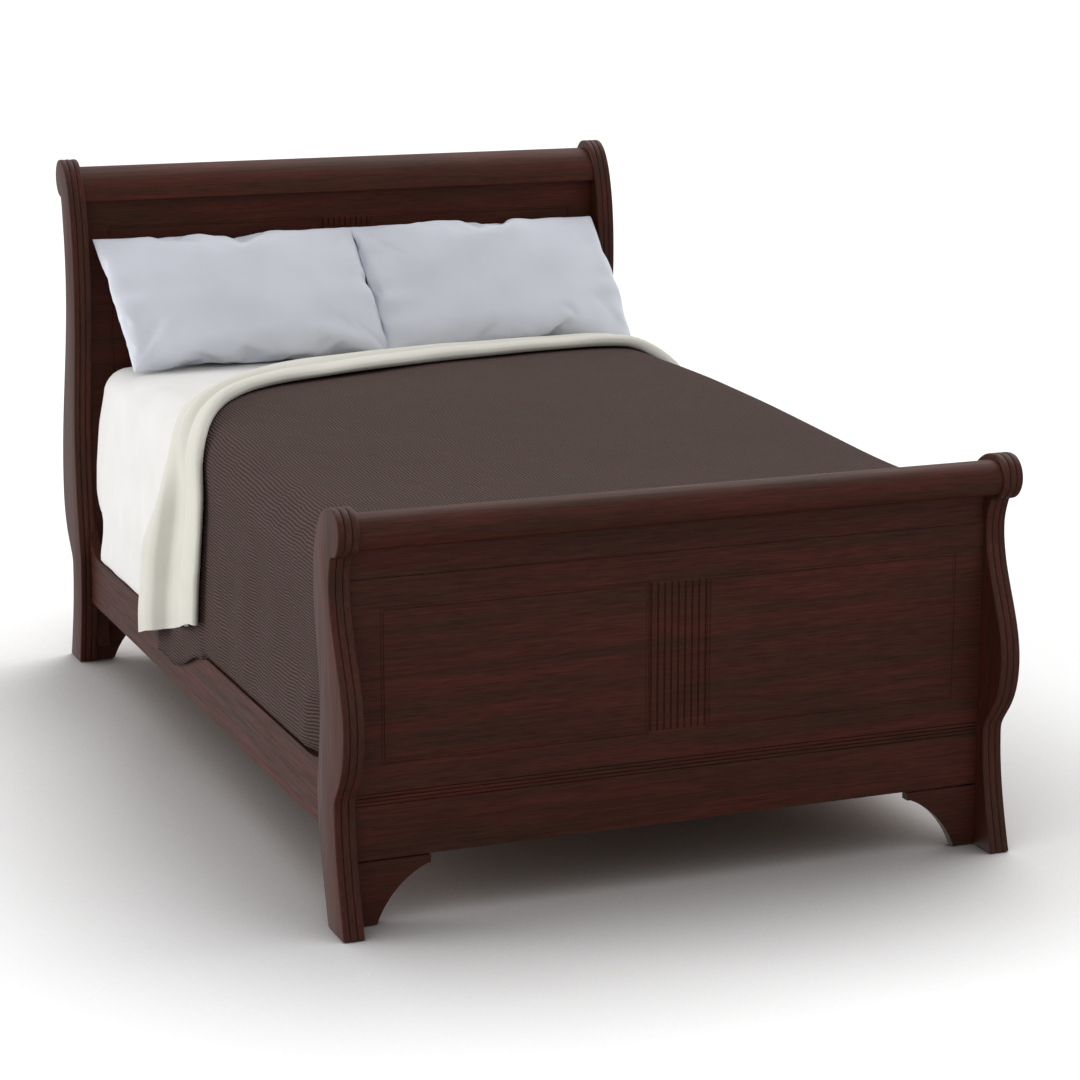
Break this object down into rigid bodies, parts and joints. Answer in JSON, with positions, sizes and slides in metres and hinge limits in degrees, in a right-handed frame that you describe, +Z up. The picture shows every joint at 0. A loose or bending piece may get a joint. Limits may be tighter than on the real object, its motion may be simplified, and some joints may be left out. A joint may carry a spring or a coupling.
{
  "type": "sleigh bed",
  "caption": "Dark wood sleigh bed with scrolled reeded posts, rolled head and foot boards, slats and hook-on rails, made up with mattress, sheets, blanket and pillows.",
  "frame": {"origin": "floor level, under the middle of the bed's overall box", "axes": "+X across the bed to the right as seen from the foot, +Y from the foot to the head, +Z up"},
  "size_m": [1.5, 2.402, 1.327],
  "materials": {
    "stained_wood": "satin stained mahogany",
    "plain_pine": "planed, unfinished",
    "zinc_steel": "zinc plated",
    "glide_nylon": "moulded nylon",
    "foundation_ticking": "woven ticking",
    "mattress_ticking": "quilted ticking",
    "white_cotton": "plain weave cotton",
    "cream_cotton": "plain weave cotton",
    "brown_blanket": "fine ribbed knit",
    "pillow_ticking": "woven ticking",
    "pillowcase_cotton": "plain weave cotton"
  },
  "bodies": {
    "bed": {"left_foot_post": "stained_wood", "right_foot_post": "stained_wood", "left_head_post": "stained_wood", "right_head_post": "stained_wood", "foot_top_roll": "stained_wood", "head_top_roll": "stained_wood", "foot_frieze": "stained_wood", "foot_panel": "stained_wood", "head_panel": "stained_wood", "foot_lower_rail": "stained_wood", "head_lower_rail": "stained_wood", "left_foot_bracket": "stained_wood", "right_foot_bracket": "stained_wood", "left_head_bracket": "stained_wood", "right_head_bracket": "stained_wood", "left_side_rail": "stained_wood", "bracket_blocks": "stained_wood", "right_side_rail": "stained_wood", "left_slat_cleat": "plain_pine", "right_slat_cleat": "plain_pine", "centre_beam": "plain_pine", "centre_leg_1": "plain_pine", "centre_leg_2": "plain_pine", "centre_leg_3": "plain_pine", "beam_hangers": "zinc_steel", "rail_hook_plates": "zinc_steel", "post_slot_plates": "zinc_steel", "hook_plate_screws": "zinc_steel", "slot_plate_screws": "zinc_steel", "cleat_screws": "zinc_steel", "slat_screws": "zinc_steel", "post_glides": "glide_nylon", "leg_glides": "glide_nylon", "foundation": "foundation_ticking", "mattress": "mattress_ticking", "fitted_sheet": "white_cotton", "top_sheet": "cream_cotton", "blanket": "brown_blanket", "slat_1": "plain_pine", "slat_2": "plain_pine", "slat_3": "plain_pine", "slat_4": "plain_pine", "slat_5": "plain_pine", "slat_6": "plain_pine", "slat_7": "plain_pine", "slat_8": "plain_pine", "slat_9": "plain_pine", "slat_10": "plain_pine", "slat_11": "plain_pine"},
    "left_pillow_on_bed": {"left_pillow": "pillow_ticking", "left_pillowcase": "pillowcase_cotton"},
    "right_pillow_on_bed": {"right_pillow": "pillow_ticking", "right_pillowcase": "pillowcase_cotton"}
  },
  "joints": [
    {"name": "left_pillow_lift", "type": "slide", "parent": "bed", "child": "left_pillow_on_bed", "axis": [0, 0, 1], "range_m": [0, 0.5]},
    {"name": "right_pillow_lift", "type": "slide", "parent": "bed", "child": "right_pillow_on_bed", "axis": [0, 0, 1], "range_m": [0, 0.5]}
  ]
}
